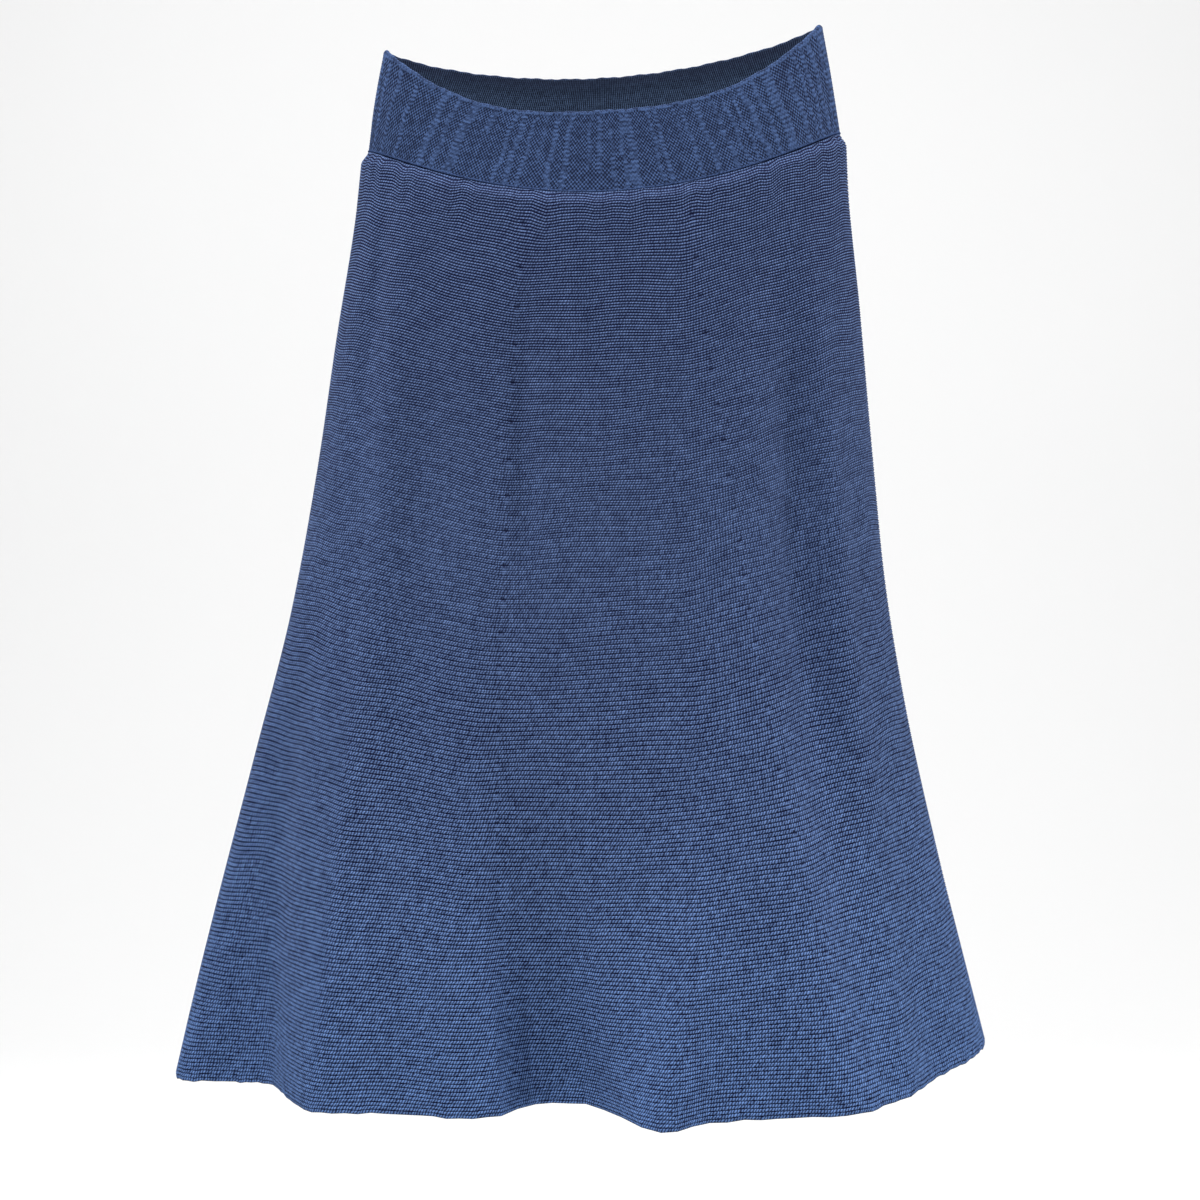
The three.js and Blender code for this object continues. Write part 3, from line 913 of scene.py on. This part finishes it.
def side_seam(name, f):
    """A tube along a line of the body: the line + radius x (cosine x outwards + sine x sideways). Its
    radius grows with the square root of the distance from the nearer end, up to an eighth of the way."""
    w = np.linspace(0.006, 0.996, SEAM_STEPS)
    line = body(w, f + 0 * w)
    beside = body(w, f + 0.01 + 0 * w) - body(w, f - 0.01 + 0 * w)
    out = np.stack([beside[:, 1], -beside[:, 0], 0 * w], -1)
    out = out / np.linalg.norm(out, axis=-1, keepdims=True)
    across = np.stack([-out[:, 1], out[:, 0], 0 * w], -1)
    step = np.arange(SEAM_STEPS)
    from_end = np.minimum(step, step[::-1]) / (SEAM_STEPS - 1)
    radius = SEAM_RADIUS * np.sqrt(np.minimum(1, 8 * from_end)) + SEAM_TIP
    turn = np.linspace(0, 2 * math.pi, SEAM_SIDES + 1)[:-1][:, None, None]
    centre = line - (KNIT_WALL / 2 + SEAM_SUNK) * out
    points = centre + radius[:, None] * (np.cos(turn) * out + np.sin(turn) * across)
    ids = np.arange(SEAM_SIDES * SEAM_STEPS).reshape(SEAM_SIDES, -1)
    quads = cells(closed(ids, 0))
    fan = np.arange(1, SEAM_SIDES - 1)
    top = np.stack([ids[0 * fan, 0], ids[fan, 0], ids[fan + 1, 0]], -1)
    low = np.stack([ids[0 * fan, -1], ids[fan + 1, -1], ids[fan, -1]], -1)
    ends = np.concatenate([top, low])
    piece = make_piece(name, points.reshape(-1, 3), quads, ends, {}, [body_material])
    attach(piece, "root")


side_seam("side_seam_left", 0.0)
side_seam("side_seam_right", 1.0)

# %% [markdown]
# ## The linked waist seam
# Where the band meets the body a linking machine makes a chain of small loops. It lies in the dip
# between the two, so it is a thin cord with a bead for each loop, half sunk in the knit. A chain of
# single loops would look the same at this size. Its yarn is painted darker than the body's, as painted shade
# in the dip.

# %% Seam chain
CHAIN_LOOPS, CHAIN_STEPS, CHAIN_SIDES = 340, 4, 6  # loops round the waist, points a loop, sides of the tube
CHAIN_RADIUS, CHAIN_SWELL = 0.75, 0.3  # mm
CHAIN_SUNK, CHAIN_DROP = 0.6, 0.15  # in from the band's lower edge, and down from it, mm


def seam_chain():
    """A closed tube round the seam, whose radius swells by a cosine once a stitch."""
    steps = CHAIN_LOOPS * CHAIN_STEPS
    f = np.linspace(0, 2, steps + 1)[:-1][None, :]
    centre = band(np.ones_like(f), f)
    normal = ring_normals(centre)
    up = np.array([0, 0, 1.0])
    centre = centre - normal * CHAIN_SUNK - up * CHAIN_DROP
    radius = CHAIN_RADIUS + CHAIN_SWELL * np.cos(np.arange(steps) * 2 * math.pi / CHAIN_STEPS)[None, :]
    turn = np.linspace(0, 2 * math.pi, CHAIN_SIDES + 1)[:-1][:, None]
    points = centre + (radius * np.cos(turn))[..., None] * normal + (radius * np.sin(turn))[..., None] * up
    ids = np.arange(CHAIN_SIDES * steps).reshape(CHAIN_SIDES, -1)
    quads = cells(closed(closed(ids, 0), 1))
    n = Nodes("seam_yarn_painted_shade")
    # The chain's yarn is painted darker than the body's: painted shade in the dip at the seam.
    shade = n.times_plus(n.noise(420.0, 2.0), 0.5, 0.1)
    colour = n.blend(shade, linear(20, 28, 58), linear(84, 110, 160))
    material = n.finish(colour, n.noise(900.0, 1.0), depth=0.0003, roughness=0.9, sheen=0.0)
    piece = make_piece("waist_seam", points.reshape(-1, 3), quads, np.zeros((0, 3), int), {}, [material])
    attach(piece, "root")


seam_chain()

# %% [markdown]
# ## The camera
# A skirt is best shown level, from far enough away that its hem and its waist are seen alike. The camera
# is level with the middle of the skirt, 1.6 m away, and the lens is worked out from how many millimetres
# of the skirt one pixel covers.

# %% Camera
PIXEL = 0.77  # mm of the skirt for one pixel of the 1200 pixel frame
FRAME_PIXELS = 1200
DISTANCE = 1600.0
CAMERA_HEIGHT = -410.0
camera_data = bpy.data.cameras.new("camera")
camera_data.sensor_width = 36.0
camera_data.lens = 36.0 * DISTANCE / (PIXEL * FRAME_PIXELS)
camera = bpy.data.objects.new("camera", camera_data)
camera.location = (0.0, -DISTANCE * MM, CAMERA_HEIGHT * MM)
camera.rotation_euler = (math.pi / 2, 0.0, 0.0)
bpy.context.scene.collection.objects.link(camera)
bpy.context.scene.camera = camera
bpy.context.scene.view_settings.view_transform = "Standard"

# %% [markdown]
# ## The sweep
# A studio hangs a sheet of paper that curves from the wall to the floor, so that no line shows behind
# the garment. Ours glows a little, which keeps it pale wherever the lights leave it dimmer.

# %% Sweep
SWEEP_GLOW = 0.13  # light that the sweep gives off by itself
FLOOR, WALL, BEND = -1.10, 2.6, 1.0  # height of the floor, place of the wall and radius between them, m
SWEEP_HALF, SWEEP_FRONT, SWEEP_TOP = 6.0, -6.0, 5.0  # m


def sweep():
    """A floor that curves up into a wall: a profile of a straight, a quarter round and a straight."""
    turn = np.linspace(0, math.pi / 2, 24)
    y = np.concatenate([[SWEEP_FRONT], WALL - BEND + BEND * np.sin(turn), [WALL]])
    z = np.concatenate([[FLOOR], FLOOR + BEND - BEND * np.cos(turn), [SWEEP_TOP]])
    x = np.array([-SWEEP_HALF, SWEEP_HALF])
    both = [np.repeat(a[:, None], 2, 1) for a in (y, z)]
    points = np.stack([np.repeat(x[None], len(y), 0)] + both, -1)
    quads = grid_quads(len(y), 2)
    n = Nodes("pale_sweep")
    colour = n.blend(n.noise(2.0, 2.0), (0.71, 0.71, 0.71, 1), (0.72, 0.72, 0.72, 1))
    material = n.finish(colour, n.noise(60.0, 2.0), depth=0.0002, roughness=0.95, sheen=0.0, glow=SWEEP_GLOW)
    mesh = bpy.data.meshes.new("sweep")
    mesh.from_pydata(points.reshape(-1, 3).tolist(), [], quads.tolist())
    mesh.materials.append(material)
    mesh.polygons.foreach_set("use_smooth", np.ones(len(mesh.polygons), bool))
    piece = bpy.data.objects.new("sweep", mesh)
    bpy.context.scene.collection.objects.link(piece)


sweep()

# %% [markdown]
# ## The lights
# The strongest light comes from above and a little from the left, and two more from above the sides. So
# flared cloth and crests are bright, and hollows are dark. All look at the middle of the skirt.

# %% Lights
AIM = (0, 0, -0.5)
WORLD_LIGHT = 0.19


def soft_light(name, place, size, watts):
    """A square area light that looks at the aim: tipped by the angle from straight down, then turned."""
    data = bpy.data.lights.new(name, "AREA")
    data.size = size
    data.energy = watts
    light = bpy.data.objects.new(name, data)
    light.location = place
    away = np.array(AIM, float) - np.array(place, float)
    level = math.hypot(away[0], away[1])
    light.rotation_euler = (math.atan2(level, -away[2]), 0.0, math.atan2(away[1], away[0]) - math.pi / 2)
    bpy.context.scene.collection.objects.link(light)


soft_light("high_light", (-0.95, -1.25, 2.2), 0.9, 90)
soft_light("left_light", (-1.8, 0.1, 1.8), 1.0, 32)
soft_light("right_light", (1.9, -0.3, 1.6), 1.0, 70)
world = bpy.data.worlds.new("studio")
world.use_nodes = True
world.node_tree.nodes["Background"].inputs["Color"].default_value = (1, 1, 1, 1)
world.node_tree.nodes["Background"].inputs["Strength"].default_value = WORLD_LIGHT
bpy.context.scene.world = world
